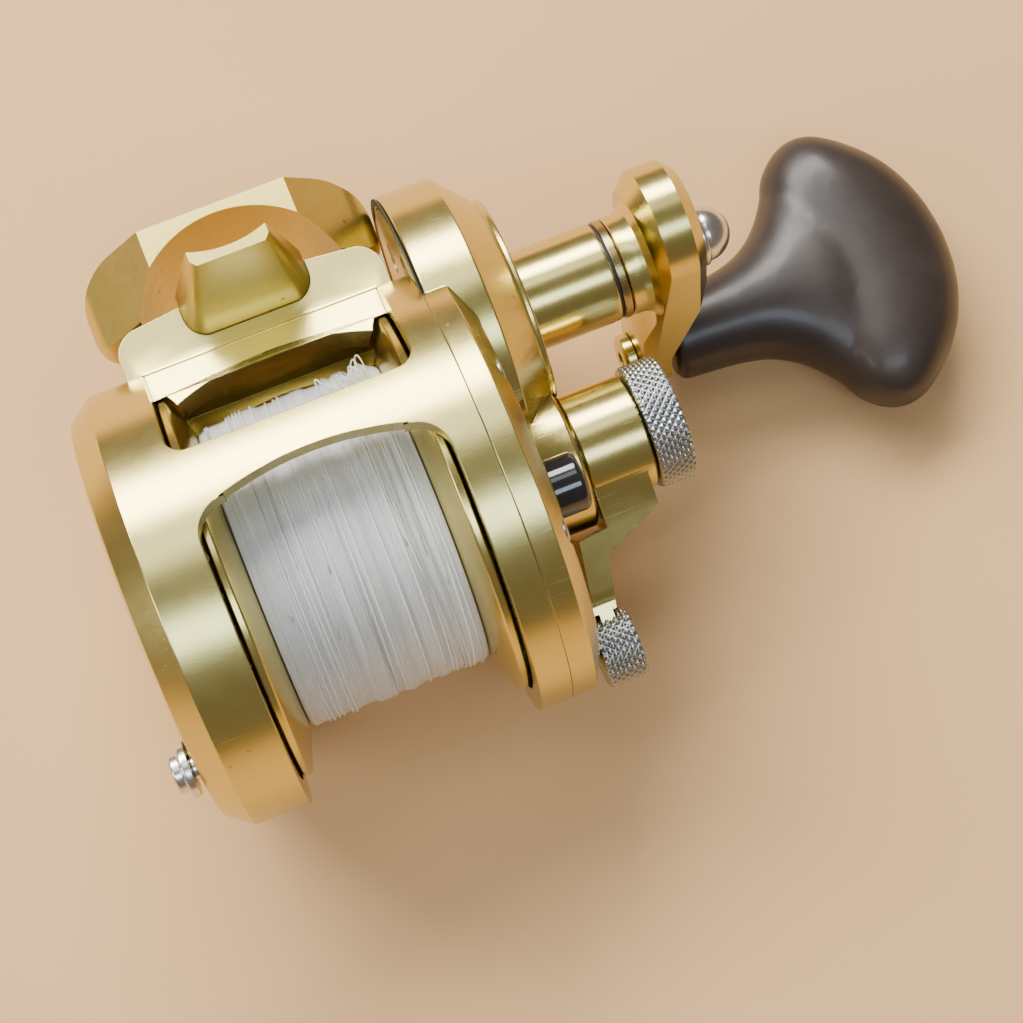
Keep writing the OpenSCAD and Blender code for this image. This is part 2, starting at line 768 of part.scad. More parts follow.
module drag_lever() {
    color(gold) difference() {
        union() {
            turned([[0, 39.6], [hub_r - 0.3, 39.6], [hub_r, 39.9], [hub_r, 50], [hub_r - 0.3, 50.3],
                [0, 50.3]]);
            to_lever() intersection() {
                translate([30, 0, 0]) rotate([90, 0, 90]) linear_extrude(height = 25) blade_outline();
                translate([0, 0, 15]) mirror([0, 0, 1]) linear_extrude(height = 30)
                    mirror([1, -1, 0]) blade_side();
            }
        }
        rod_x(39, 47, 6.2);
        rod_x(39, 52, shaft_r + 0.1);
        to_lever() rod_x(30, 45, 1.5, lever_reach, 0);
    }
}

module lever_knob() {
    color(steel) to_lever() difference() {
        turned([[0, 31.6], [knob_r - 0.5, 31.6], [knob_r, 32], [knob_r, 37.6], [knob_r - 0.5, 38.2],
            [0, 38.2]], lever_reach, 0);
        translate([33.7, lever_reach - 8, -3.1]) cube([2.5, 10.1, 6.2]);
        rod_x(32, 36.3, 1.5, lever_reach, 0);
    }
}

module lever_knob_screw() {
    color(steel) to_lever() rod_x(32.1, 36.2, 1.46, lever_reach, 0);
}

module drag_cam() {
    color(steel) ring_x(39.3, 44, shaft_r + 0.1, 6.1);
}

module cam_bearing() {
    color(steel) bearing(44.1, 46.9, shaft_r + fit, 6.1);
}

module preset_knob() {
    color(steel) difference() {
        turned([[0, 50.7], [9.9, 50.7], [10.3, 51], [10.3, 56.1], [9.5, 56.8], [6, 56.8], [5.6, 56.4], [0, 56.4]]);
        rod_x(50, 54, 2.2);
    }
}

module preset_screw() {
    color(steel) turned([[0, 49.3], [2.15, 49.3], [2.15, 53.9], [0, 53.9]]);
}

module strike_button() {
    color("black") turned([[3.7, 30.9], [strike_r, 30.9], [strike_r, 36.5], [strike_r - 0.6, 37.1], [0, 37.1],
        [0, 33], [3.7, 33]], strike_y, strike_z);
}

module strike_spring() {
    color(steel) coil_x(29.51, 31.6, 2.9, 0.25, 3, strike_y, strike_z);
}

// ---------- clicker ----------

module clicker_slot() {
    rotate([-click_dir, 0, 0]) translate([-40, 0, 0]) rotate([90, 0, 90]) linear_extrude(height = 20)
        polygon(concat(arc(0, click_ring, 2.2, 0, 180, 16), arc(0, click_ring - 4, 2.2, 180, 360, 16)));
}

module clicker_button() {
    color(steel) at_dir(click_ring, click_dir) {
        turned([[0, -36.4], [2.9, -36.4], [3.3, -36], [3.3, -34.8], [4.3, -34.6], [4.4, -34.2],
            [4.4, -33.3], [0, -33.3]]);
        rod_x(-33.4, -25.8, 2.1);
    }
}

// Puts children made at direction 0, with Z outwards, at the clicker's direction.
module at_click() {
    rotate([-click_dir, 0, 0]) children();
}

module click_slider() {
    color(dark) at_click() {
        difference() {
            translate([-27.3, -4, 18]) cube([1.6, 8, 13]);
            rod_x(-28, -20, 2.1, 0, click_ring);
        }
        rod_x(-27.2, -19.9, 1, 0, pawl_r);
    }
}

module click_pawl() {
    color("goldenrod") at_click() difference() {
        union() {
            rod_x(-23.6, -19.7, 2.3, 0, pawl_r);
            along_x(-21.4) linear_extrude(height = 1.7)
                polygon([[-pawl_r, -2], [-18, -1.4], [-16.6, 0], [-18, 1.4], [-pawl_r, 2]]);
        }
        rod_x(-28, -18, 1 + fit, 0, pawl_r);
    }
}

module click_spring() {
    color(steel) at_click() coil_x(-25.65, -23.75, 1.5, 0.22, 3, 0, pawl_r);
}

module left_bearing_cap() {
    color(gold) turned([[0, -34], [5.2, -34], [6.1, -33.6], [6.1, -29.1], [0, -29.1]]);
}

frame();
rod_foot();
foot_screws();
rod_clamp();
clamp_studs();
clamp_nuts();
spool();
fishing_line();
click_gear();
spool_bearing_left();
spool_bearing_right();
drag_washer();
spool_shaft();
shaft_bearing_left();
shaft_circlip();
drag_disc();
drag_spring_washers();
pinion_gear();
pinion_bearing();
right_side_plate();
bridge_plate();
side_plate_screws();
handle_post();
gear_bearing_inner();
gear_bearing_outer();
main_gear();
gear_shaft();
ratchet_wheel();
dog_left();
dog_right();
dog_pins();
dog_springs();
post_seal();
post_ring();
handle_arm();
handle_nut();
handle_lock_screw();
grip_axle();
grip();
grip_bushes();
axle_nut();
drag_lever();
lever_knob();
lever_knob_screw();
drag_cam();
cam_bearing();
preset_knob();
preset_screw();
strike_button();
strike_spring();
clicker_button();
click_slider();
click_pawl();
click_spring();
left_bearing_cap();
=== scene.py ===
import json
import math
import random

import bmesh
import bpy
from mathutils import Matrix, Vector, noise


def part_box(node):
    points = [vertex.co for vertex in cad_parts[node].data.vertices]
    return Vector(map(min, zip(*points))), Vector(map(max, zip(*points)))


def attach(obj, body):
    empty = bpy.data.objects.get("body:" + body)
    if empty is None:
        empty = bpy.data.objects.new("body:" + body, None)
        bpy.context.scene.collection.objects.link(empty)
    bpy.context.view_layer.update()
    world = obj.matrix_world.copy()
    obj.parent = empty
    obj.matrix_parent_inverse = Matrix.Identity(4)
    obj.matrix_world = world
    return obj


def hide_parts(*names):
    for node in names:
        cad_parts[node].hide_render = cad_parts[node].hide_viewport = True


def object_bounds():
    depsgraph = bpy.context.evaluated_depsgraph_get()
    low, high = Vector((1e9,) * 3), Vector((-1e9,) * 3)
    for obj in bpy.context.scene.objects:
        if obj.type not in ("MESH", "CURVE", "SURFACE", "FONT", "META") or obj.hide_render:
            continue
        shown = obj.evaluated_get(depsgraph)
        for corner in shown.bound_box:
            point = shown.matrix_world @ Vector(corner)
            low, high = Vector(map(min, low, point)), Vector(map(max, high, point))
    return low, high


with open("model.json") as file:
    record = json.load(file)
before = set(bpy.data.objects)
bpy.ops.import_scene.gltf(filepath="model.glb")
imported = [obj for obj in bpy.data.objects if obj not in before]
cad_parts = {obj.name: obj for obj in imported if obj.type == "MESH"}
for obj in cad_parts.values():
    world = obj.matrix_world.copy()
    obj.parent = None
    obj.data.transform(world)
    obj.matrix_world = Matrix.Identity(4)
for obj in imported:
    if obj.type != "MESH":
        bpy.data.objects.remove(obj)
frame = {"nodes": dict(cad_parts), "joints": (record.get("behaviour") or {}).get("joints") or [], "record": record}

cad_low, cad_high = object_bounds()
NODES = frame["nodes"]
BODY = {n: b for b, ns in frame["record"]["behaviour"]["bodies"].items() for n in ns}
SLOT = {s["node"]: s["material_slot"] for s in frame["record"]["subparts"]}
MM = 0.001

# Lines that parts turn about, as (y, z) in mm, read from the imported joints.
JOINT = {j["name"]: j for j in frame["joints"]}
POST = (JOINT["handle_spin"]["pos_m"][1] / MM, JOINT["handle_spin"]["pos_m"][2] / MM)
GRIP = (JOINT["grip_spin"]["pos_m"][1] / MM, JOINT["grip_spin"]["pos_m"][2] / MM)
SPOOL = (0.0, 0.0)

GOLD = (0.72, 0.60, 0.21)
GOLD_DEEP = (0.50, 0.38, 0.09)


# ---------------------------------------------------------------- materials

class Shader:
    """Builds a Principled material from nodes, with short calls."""

    def __init__(self, name, **constants):
        self.mat = bpy.data.materials.new(name)
        self.mat.use_nodes = True
        self.tree = self.mat.node_tree
        self.tree.nodes.clear()
        out = self.tree.nodes.new("ShaderNodeOutputMaterial")
        self.bsdf = self.tree.nodes.new("ShaderNodeBsdfPrincipled")
        self.tree.links.new(self.bsdf.outputs[0], out.inputs[0])
        for key, value in constants.items():
            self.bsdf.inputs[key.replace("_", " ")].default_value = value
        self.coord = self.node("ShaderNodeTexCoord").outputs["Object"]

    def node(self, kind, **props):
        n = self.tree.nodes.new(kind)
        for key, value in props.items():
            setattr(n, key, value)
        return n

    def put(self, socket, value):
        if isinstance(value, bpy.types.NodeSocket):
            self.tree.links.new(value, socket)
        else:
            socket.default_value = value

    def math(self, op, a, b=0.0):
        n = self.node("ShaderNodeMath", operation=op)
        self.put(n.inputs[0], a)
        self.put(n.inputs[1], b)
        return n.outputs[0]

    def split(self, vector):
        n = self.node("ShaderNodeSeparateXYZ")
        self.put(n.inputs[0], vector)
        return n.outputs

    def join(self, x, y, z):
        n = self.node("ShaderNodeCombineXYZ")
        for socket, value in zip(n.inputs, (x, y, z)):
            self.put(socket, value)
        return n.outputs[0]

    def scale(self, vector, sx, sy, sz):
        n = self.node("ShaderNodeMapping")
        self.put(n.inputs["Vector"], vector)
        n.inputs["Scale"].default_value = (sx, sy, sz)
        return n.outputs[0]

    def noise(self, vector, scale, detail=3.0, rough=0.5, distortion=0.0):
        n = self.node("ShaderNodeTexNoise")
        self.put(n.inputs["Vector"], vector)
        n.inputs["Scale"].default_value = scale
        n.inputs["Detail"].default_value = detail
        n.inputs["Roughness"].default_value = rough
        n.inputs["Distortion"].default_value = distortion
        return n.outputs["Fac"]

    def cells(self, vector, scale):
        n = self.node("ShaderNodeTexVoronoi")
        self.put(n.inputs["Vector"], vector)
        n.inputs["Scale"].default_value = scale
        return n.outputs["Distance"]

    def mix(self, factor, a, b):
        n = self.node("ShaderNodeMix", data_type="RGBA")
        self.put(n.inputs[0], factor)
        for socket, value in ((n.inputs[6], a), (n.inputs[7], b)):
            if isinstance(value, (tuple, list)) and len(value) == 3:
                value = tuple(value) + (1,)
            self.put(socket, value)
        return n.outputs[2]

    def range(self, value, a, b, c, d):
        """Maps a..b to c..d."""
        n = self.node("ShaderNodeMapRange")
        self.put(n.inputs[0], value)
        for i, v in enumerate((a, b, c, d)):
            n.inputs[i + 1].default_value = v
        return n.outputs[0]

    def around(self, axis_y, axis_z, turn):
        """Coordinates of a surface turned about the line (axis_y, axis_z) along X: in mm
        along the profile, and stretched round the turning direction."""
        x, y, z = self.split(self.coord)
        y = self.math("SUBTRACT", y, axis_y * MM)
        z = self.math("SUBTRACT", z, axis_z * MM)
        square = self.math("ADD", self.math("MULTIPLY", y, y), self.math("MULTIPLY", z, z))
        r = self.math("SQRT", square)
        angle = self.math("ARCTAN2", y, z)
        return self.join(self.math("MULTIPLY", x, 1 / MM), self.math("MULTIPLY", r, 1 / MM),
                         self.math("MULTIPLY", self.math("SINE", angle), turn))

    def bump(self, height, distance, strength=1.0, under=None):
        n = self.node("ShaderNodeBump")
        n.inputs["Strength"].default_value = strength
        n.inputs["Distance"].default_value = distance
        self.put(n.inputs["Height"], height)
        if under is not None:
            self.put(n.inputs["Normal"], under)
        return n.outputs[0]

    def edge(self, width, soft):
        """1 on outer edges that rubbing has brightened, 0 elsewhere."""
        point = self.node("ShaderNodeNewGeometry").outputs["Pointiness"]
        return self.range(point, 0.5 + width, 0.5 + width + soft, 0.0, 1.0)

    def crevice(self, reach):
        """0 deep in a corner, 1 on open surfaces."""
        n = self.node("ShaderNodeAmbientOcclusion", samples=6)
        n.inputs["Distance"].default_value = reach
        return n.outputs["AO"]


def gold(name, axis=None, tone=GOLD, rough=0.24, grain=0.6, spots=0.0, deep=GOLD_DEEP, reach=1.4):
    """Anodised aluminium: fine blasted grain, turning marks about an axis, cloudy dye, faint scratches and, where
    spots is above 0, small dark pits. Painted shade darkens the colour towards corners and round seams, over a
    reach in mm."""
    s = Shader(name, Metallic=1.0)
    cloud = s.noise(s.coord, 45.0, 2.0, 0.5)
    dyed = tuple(0.75 * t + 0.25 * d for t, d in zip(tone, deep))
    colour = s.mix(s.range(cloud, 0.35, 0.7, 0.0, 0.4), tone, dyed)
    # painted shade: darker in corners and round seams, where ambient occlusion finds them
    shade = s.range(s.crevice(reach * MM), 0.25, 0.8, 0.75, 0.0)
    colour = s.mix(shade, colour, tuple(0.55 * d for d in deep))
    # rubbed edges lose a little of their dye, in patches
    patch = s.range(s.noise(s.coord, 700.0, 2.0), 0.35, 0.65, 0.0, 0.1)
    colour = s.mix(s.math("MULTIPLY", s.edge(0.012, 0.05), patch), colour, (0.90, 0.82, 0.58))
    fine = s.noise(s.coord, 5200.0, 2.0, 0.6)
    blotch = s.noise(s.coord, 420.0, 4.0, 0.6)
    rough_value = s.math("ADD", s.range(blotch, 0.3, 0.7, rough - 0.012, rough + 0.018),
                         s.range(fine, 0.2, 0.8, -0.02, 0.02))
    # hairline scratches in two directions
    marks = None
    for turn, stretch in ((0.5, 34.0), (-0.9, 26.0)):
        m = s.node("ShaderNodeMapping")
        s.put(m.inputs["Vector"], s.coord)
        m.inputs["Rotation"].default_value = (turn, 0.4 * turn, turn)
        m.inputs["Scale"].default_value = (1.0, stretch, stretch)
        line = s.range(s.noise(m.outputs[0], 95.0, 2.0, 0.5), 0.70, 0.74, 0.0, 1.0)
        marks = line if marks is None else s.math("MAXIMUM", marks, line)
    scratched = s.range(s.noise(s.coord, 60.0, 2.0), 0.5, 0.62, 0.0, 0.8)
    marks = s.math("MULTIPLY", marks, scratched)
    rough_value = s.math("ADD", rough_value, s.math("MULTIPLY", marks, 0.16))
    if spots:
        pit = s.range(s.cells(s.coord, 260.0), 0.075, 0.11, 1.0, 0.0)
        pitted = s.range(s.noise(s.coord, 130.0, 1.0), 0.5, 0.58, 0.0, spots)
        pit = s.math("MULTIPLY", pit, pitted)
        colour = s.mix(pit, colour, (0.10, 0.07, 0.03))
        rough_value = s.math("ADD", rough_value, s.math("MULTIPLY", pit, 0.3))
    s.put(s.bsdf.inputs["Base Color"], colour)
    s.put(s.bsdf.inputs["Roughness"], rough_value)
    normal = s.bump(fine, 0.045 * MM * grain, 0.35)
    normal = s.bump(s.noise(s.coord, 1500.0, 2.0), 0.006 * MM * grain, 0.35, normal)
    if axis:
        lines = s.noise(s.around(*axis, turn=6.0), 3.2, 3.0, 0.7)
        normal = s.bump(lines, 0.012 * MM, 0.32, normal)
    normal = s.bump(marks, 0.004 * MM, 0.5, normal)
    s.put(s.bsdf.inputs["Normal"], normal)
    return s.mat


def steel(name, axis, tone=(0.56, 0.56, 0.56), rough=0.26, corner_shade=0.5):
    """Machined stainless steel with turning marks, and painted shade that darkens its corners."""
    s = Shader(name, Metallic=1.0)
    cloud = s.noise(s.coord, 260.0, 3.0, 0.6)
    colour = s.mix(cloud, tone, tuple(0.82 * t for t in tone))
    # painted shade: darker where ambient occlusion finds corners
    painted_corner_shade = s.range(s.crevice(1.2 * MM), 0.3, 0.9, corner_shade, 0.0)
    colour = s.mix(painted_corner_shade, colour, (0.12, 0.10, 0.07))
    colour = s.mix(s.math("MULTIPLY", s.edge(0.01, 0.05), 0.15), colour, (0.80, 0.80, 0.79))
    s.put(s.bsdf.inputs["Base Color"], colour)
    s.put(s.bsdf.inputs["Roughness"], s.range(cloud, 0.3, 0.7, rough - 0.05, rough + 0.07))
    lines = s.noise(s.around(*axis, turn=5.0), 4.0, 3.0, 0.7)
    normal = s.bump(lines, 0.010 * MM, 0.4)
    normal = s.bump(s.noise(s.coord, 3000.0, 2.0), 0.006 * MM, 0.3, normal)
    s.put(s.bsdf.inputs["Normal"], normal)
    return s.mat


def chrome(name, tone=(0.80, 0.78, 0.75), rough=0.20):
    """Polished plating, smeared and a little dull in patches."""
    s = Shader(name, Metallic=1.0)
    smear = s.noise(s.coord, 300.0, 4.0, 0.6)
    colour = s.mix(s.range(smear, 0.45, 0.7, 0.0, 0.5), tone, (0.50, 0.46, 0.42))
    s.put(s.bsdf.inputs["Base Color"], colour)
    s.put(s.bsdf.inputs["Roughness"], s.range(smear, 0.35, 0.7, rough, rough + 0.10))
    s.put(s.bsdf.inputs["Normal"], s.bump(s.noise(s.coord, 900.0, 2.0), 0.002 * MM, 0.25))
    return s.mat


def brass(name, axis):
    return gold(name, axis, tone=(0.72, 0.52, 0.22), rough=0.30, deep=(0.45, 0.28, 0.10))


def plastic(name, tone, rough, bump, coat=0.0):
    """Moulded plastic: faint orange peel, uneven gloss, paler scuffs on its edges."""
    peel = 1200.0
    s = Shader(name)
    s.bsdf.inputs["Coat Weight"].default_value = coat
    s.bsdf.inputs["Coat Roughness"].default_value = 0.08
    cloud = s.noise(s.coord, 120.0, 4.0, 0.6)
    paler = tuple(min(1, 1.25 * t + 0.004) for t in tone)
    colour = s.mix(s.range(cloud, 0.35, 0.7, 0.0, 1.0), tone, paler)
    scuff = s.math("MULTIPLY", s.edge(0.015, 0.08), 0.3)
    colour = s.mix(scuff, colour, tuple(min(1, 2.2 * t + 0.03) for t in tone))
    s.put(s.bsdf.inputs["Base Color"], colour)
    gloss = s.noise(s.coord, 300.0, 4.0, 0.65)
    s.put(s.bsdf.inputs["Roughness"], s.range(gloss, 0.3, 0.7, rough - 0.04, rough + 0.07))
    normal = s.bump(s.noise(s.coord, peel, 2.0), 0.010 * MM, bump)
    normal = s.bump(s.noise(s.coord, peel * 4, 2.0), 0.004 * MM, bump, normal)
    s.put(s.bsdf.inputs["Normal"], normal)
    return s.mat


def grip_material():
    """Dark moulded grip: satin, slightly mottled, with fine dust and uneven gloss."""
    s = Shader("grip_satin")
    s.bsdf.inputs["Coat Weight"].default_value = 0.10
    s.bsdf.inputs["Coat Roughness"].default_value = 0.16
    s.bsdf.inputs["Specular IOR Level"].default_value = 0.42
    cloud = s.noise(s.coord, 55.0, 5.0, 0.6, 0.4)
    mottle = s.range(cloud, 0.35, 0.68, 0.0, 1.0)
    colour = s.mix(mottle, (0.030, 0.022, 0.019), (0.042, 0.030, 0.025))
    dust = s.range(s.noise(s.coord, 2600.0, 3.0, 0.7), 0.60, 0.75, 0.0, 0.16)
    colour = s.mix(dust, colour, (0.10, 0.085, 0.075))
    s.put(s.bsdf.inputs["Base Color"], colour)
    gloss = s.noise(s.coord, 140.0, 5.0, 0.65)
    s.put(s.bsdf.inputs["Roughness"], s.range(gloss, 0.3, 0.7, 0.33, 0.45))
    normal = s.bump(s.noise(s.coord, 700.0, 3.0, 0.6), 0.020 * MM, 0.35)
    normal = s.bump(s.noise(s.coord, 4200.0, 2.0), 0.006 * MM, 0.5, normal)
    s.put(s.bsdf.inputs["Normal"], normal)
    return s.mat


def line_material():
    """Wound nylon line: milky, slightly translucent, streaked along the turns."""
    s = Shader("nylon_line")
    s.bsdf.inputs["Subsurface Weight"].default_value = 0.6
    s.bsdf.inputs["Subsurface Radius"].default_value = (1.0, 0.95, 0.85)
    s.bsdf.inputs["Subsurface Scale"].default_value = 1.2 * MM
    s.bsdf.inputs["Specular IOR Level"].default_value = 0.55
    s.bsdf.inputs["Coat Weight"].default_value = 0.2
    s.bsdf.inputs["Coat Roughness"].default_value = 0.15
    streak = s.noise(s.around(*SPOOL, turn=2.5), 0.9, 4.0, 0.65)
    wide = s.noise(s.around(*SPOOL, turn=3.0), 0.13, 2.0, 0.5)
    strands = s.range(streak, 0.3, 0.7, 0.0, 1.0)
    colour = s.mix(strands, (0.86, 0.86, 0.83), (0.96, 0.96, 0.95))
    colour = s.mix(s.range(wide, 0.46, 0.68, 0.0, 0.6), colour, (0.88, 0.85, 0.72))
    s.put(s.bsdf.inputs["Base Color"], colour)
    s.put(s.bsdf.inputs["Roughness"], s.range(streak, 0.3, 0.7, 0.5, 0.34))
    s.put(s.bsdf.inputs["Normal"], s.bump(streak, 0.03 * MM, 0.4))
    return s.mat


def carbon_material():
    """Woven friction ring: twill of grey and black tows."""
    s = Shader("carbon_weave", Roughness=0.4)
    checker = s.node("ShaderNodeTexChecker")
    s.put(checker.inputs["Vector"], s.coord)
    checker.inputs["Scale"].default_value = 900.0
    tow = s.noise(s.scale(s.coord, 1.0, 1.0, 6.0), 800.0, 2.0)
    colour = s.mix(checker.outputs["Fac"], (0.015, 0.015, 0.017), (0.05, 0.05, 0.055))
    colour = s.mix(s.range(tow, 0.4, 0.6, 0.0, 0.5), colour, (0.02, 0.02, 0.02))
    s.put(s.bsdf.inputs["Base Color"], colour)
    s.put(s.bsdf.inputs["Normal"], s.bump(tow, 0.02 * MM, 0.5))
    return s.mat


MAT = {
    "gold_ring": gold("gold_ring", SPOOL, rough=0.24, spots=0.3),
    # long reach: painted shade darkens the clamp's arch and other hollows
    "gold_cast": gold("gold_cast", None, tone=(0.68, 0.55, 0.15), rough=0.36, spots=0.5, grain=0.5,
                      reach=9.0),
    "gold_post": gold("gold_post", POST, rough=0.22, grain=0.4),
    "gold_lever": gold("gold_lever", SPOOL, rough=0.22, spots=0.4, grain=0.4),
    "gold_spool": gold("gold_spool", SPOOL, rough=0.22, grain=0.3),
    "steel": steel("steel_turned", SPOOL),
    # dark brownish tone for the post ring: painted reflection of its brown surroundings
    "dark_reflection_gold": gold("gold_dark_painted_reflection", POST, tone=(0.42, 0.31, 0.14), rough=0.26,
                   deep=(0.20, 0.13, 0.05)),
    "steel_post": steel("steel_post", POST, tone=(0.60, 0.58, 0.55)),
    "knurl": steel("steel_knurled", SPOOL, tone=(0.44, 0.47, 0.50), rough=0.28, corner_shade=0.8),
    "spring": steel("steel_spring", SPOOL, tone=(0.34, 0.34, 0.35), rough=0.35),
    "chrome": chrome("chrome_polished"),
    "brass": brass("brass_machined", SPOOL),
    "brass_post": brass("brass_gear", POST),
    "line": line_material(),
    "carbon": carbon_material(),
    "black": plastic("black_gloss", (0.012, 0.012, 0.014), 0.10, bump=0.1, coat=0.6),
    "seal": plastic("seal_rubber", (0.018, 0.017, 0.016), 0.62, bump=0.8),
    "bridge": gold("gold_bridge", POST, rough=0.30, spots=0.3),
    "grip": grip_material(),
}

BY_SLOT = {
    "gold": "gold_ring", "gold_lever": "gold_lever", "gold_spool": "gold_spool", "steel": "steel",
    "knurled_steel": "knurl", "spring_steel": "spring", "chrome": "chrome", "brass": "brass",
    "line": "line", "carbon": "carbon", "black_plastic": "black", "seal": "seal",
    "bridge": "bridge", "grip": "grip",
}
# nodes whose material differs from their slot's
BY_NODE = {
    "rod_foot": "gold_cast", "rod_clamp": "gold_cast", "handle_post": "gold_post",
    "handle_arm": "gold_post", "grip_axle": "gold_post", "post_ring": "dark_reflection_gold",
    "gear_shaft": "steel_post", "ratchet_wheel": "steel_post", "gear_bearing_inner": "steel_post",
    "gear_bearing_outer": "steel_post", "main_gear": "brass_post",
}


def material_of(node):
    return MAT[BY_NODE.get(node, BY_SLOT[SLOT[node]])]


for node, obj in NODES.items():
    obj.data.materials.clear()
    obj.data.materials.append(material_of(node))


# ---------------------------------------------------------------- mesh tools

def link(name, mesh):
    obj = bpy.data.objects.new(name, mesh)
    bpy.context.scene.collection.objects.link(obj)
    return obj


def extra(obj, node, mat=None):
    """Gives a finished piece a node's body, and the node's material unless told another."""
    obj.data.materials.clear()
    obj.data.materials.append(mat or material_of(node))
    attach(obj, BODY[node])


def piece(obj, node):
    """An extra that also stands in for its CAD node."""
    extra(obj, node)
    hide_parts(node)


def baked(obj):
    """Applies the modifiers to the mesh."""
    graph = bpy.context.evaluated_depsgraph_get()
    graph.update()
    mesh = bpy.data.meshes.new_from_object(obj.evaluated_get(graph), depsgraph=graph)
    obj.modifiers.clear()
    obj.data = mesh


def cad_copy(node):
    """A CAD node's mesh with its flat faces joined up, ready for rounding."""
    mesh = NODES[node].data.copy()
    bm = bmesh.new()
    bm.from_mesh(mesh)
    bmesh.ops.remove_doubles(bm, verts=bm.verts, dist=2e-6)
    bmesh.ops.dissolve_limit(bm, angle_limit=math.radians(0.7), verts=bm.verts, edges=bm.edges,
                             delimit={"NORMAL"})
    for f in bm.faces:
        f.smooth = True
    bm.to_mesh(mesh)
    bm.free()
    if mesh.attributes.get("custom_normal"):
        mesh.attributes.remove(mesh.attributes["custom_normal"])
    return link("v_" + node, mesh)


def bevelled(node, width, segments=3, angle=28, clamp=True):
    """A copy of a CAD node with its edges rounded. Without the clamp the width holds everywhere,
    also where narrow faces would otherwise shrink it to nothing."""
    obj = cad_copy(node)
    m = obj.modifiers.new("round", "BEVEL")
    m.width = width * MM
    m.segments = segments
    m.limit_method = "ANGLE"
    m.angle_limit = math.radians(angle)
    m.use_clamp_overlap = clamp
    m.harden_normals = True
    m.miter_outer = "MITER_ARC"
    m.profile = 0.55
    baked(obj)
    piece(obj, node)


def made(name, bm):
    """Ends a mesh's construction: outward normals, smooth shading, one object."""
    bmesh.ops.recalc_face_normals(bm, faces=bm.faces)
    for f in bm.faces:
        f.smooth = True
    mesh = bpy.data.meshes.new(name)
    bm.to_mesh(mesh)
    bm.free()
    return link(name, mesh)


def lathe(name, profile, axis, steps, closed=False, wave=None):
    """Turns a profile of (x, r) points in mm about the line axis=(y, z) along X. A wave(x, angle,
    r) gives what is added to the radius."""
    bm = bmesh.new()
    rings = []
    for x, r in profile:
        if r < 1e-6:
            rings.append([bm.verts.new((x * MM, axis[0] * MM, axis[1] * MM))])
            continue
        ring = []
        for i in range(steps):
            a = 2 * math.pi * i / steps
            rr = r + (wave(x, a, r) if wave else 0.0)
            y, z = axis[0] + rr * math.sin(a), axis[1] + rr * math.cos(a)
            ring.append(bm.verts.new((x * MM, y * MM, z * MM)))
        rings.append(ring)
    pairs = list(zip(rings, rings[1:])) + ([(rings[-1], rings[0])] if closed else [])
    for a, b in pairs:
        for i in range(steps):
            j = (i + 1) % steps
            if len(a) == 1 and len(b) == 1:
                break
            if len(a) == 1:
                bm.faces.new((a[0], b[j], b[i]))
            elif len(b) == 1:
                bm.faces.new((a[i], a[j], b[0]))
            else:
                bm.faces.new((a[i], a[j], b[j], b[i]))
    return made(name, bm)


def sharpen(obj, angle=35):
    """Marks edges sharper than the angle, so that flat faces shade flat."""
    bm = bmesh.new()
    bm.from_mesh(obj.data)
    for e in bm.edges:
        if len(e.link_faces) == 2:
            e.smooth = e.calc_face_angle(0) < math.radians(angle)
    bm.to_mesh(obj.data)
    bm.free()
    return obj


def tube(name, paths, radius, sides=6):
    """Thin round wires along lists of points in mm."""
    bm = bmesh.new()
    for path in paths:
        pts = [Vector(p) * MM for p in path]
        n = len(pts)
        ring_before = None
        first = None
        side = None
        for i, p in enumerate(pts):
            t = (pts[min(i + 1, n - 1)] - pts[max(i - 1, 0)]).normalized()
            if side is None:
                side = t.orthogonal().normalized()
            side = (side - t * side.dot(t)).normalized()
            other = t.cross(side)
            ring = [bm.verts.new(p + (side * math.cos(a) + other * math.sin(a)) * radius * MM)
                    for a in (2 * math.pi * k / sides for k in range(sides))]
            if ring_before:
                for k in range(sides):
                    j = (k + 1) % sides
                    bm.faces.new((ring_before[k], ring_before[j], ring[j], ring[k]))
            else:
                first = ring
            ring_before = ring
        bm.faces.new(list(reversed(first)))
        bm.faces.new(ring_before)
    return made(name, bm)


def knurled(name, x0, x1, r, axis, hollow=None):
    """A knob with a diamond knurl: two crossed sets of grooves leave small pyramids."""
    pitch, depth, bevel = 1.45, 0.42, 0.45
    per_groove = 10  # mesh steps from one groove to the next
    flank = 2.2      # how steeply a groove's sides rise
    count = round(2 * math.pi * r / pitch)
    steps = count * per_groove
    n = max(24, int((x1 - x0) / pitch * per_groove))
    lead = 2 * math.pi * r / count

    def wave(x, a, rr):
        if rr < r - bevel - 0.01:
            return 0.0
        u = a * count / (2 * math.pi)
        v = (x - x0) / lead
        g = 1.0
        for w in (u + v, u - v):
            g = min(g, flank * abs((w % 1.0) - 0.5))
        fade = min(1.0, max(0.0, (rr - (r - bevel)) / bevel))
        return -depth * (1 - min(1.0, g)) * fade

    inner = [(x0, 0.0), (x0, r - bevel)]
    outer = [(x1, r - bevel)] + (hollow or [(x1, 0.0)])
    body = [(x0 + bevel * 0.5, r - bevel * 0.3)]
    body += [(x0 + bevel + (x1 - x0 - 2 * bevel) * i / n, r) for i in range(n + 1)]
    body += [(x1 - bevel * 0.5, r - bevel * 0.3)]
    return lathe(name, inner + body + outer, axis, steps, wave=wave)


# ---------------------------------------------------------------- frame, foot and clamp

bevelled("frame", 0.13, 2, 32, clamp=False)
bevelled("right_side_plate", 0.22, 2, 32, clamp=False)
bevelled("rod_foot", 0.45)
bevelled("rod_clamp", 0.5)
for node in ("foot_screws", "side_plate_screws", "clamp_nuts", "clamp_studs"):
    bevelled(node, 0.12, 2)
bevelled("left_bearing_cap", 0.3)
bevelled("handle_post", 0.25)
bevelled("post_ring", 0.15, 2)


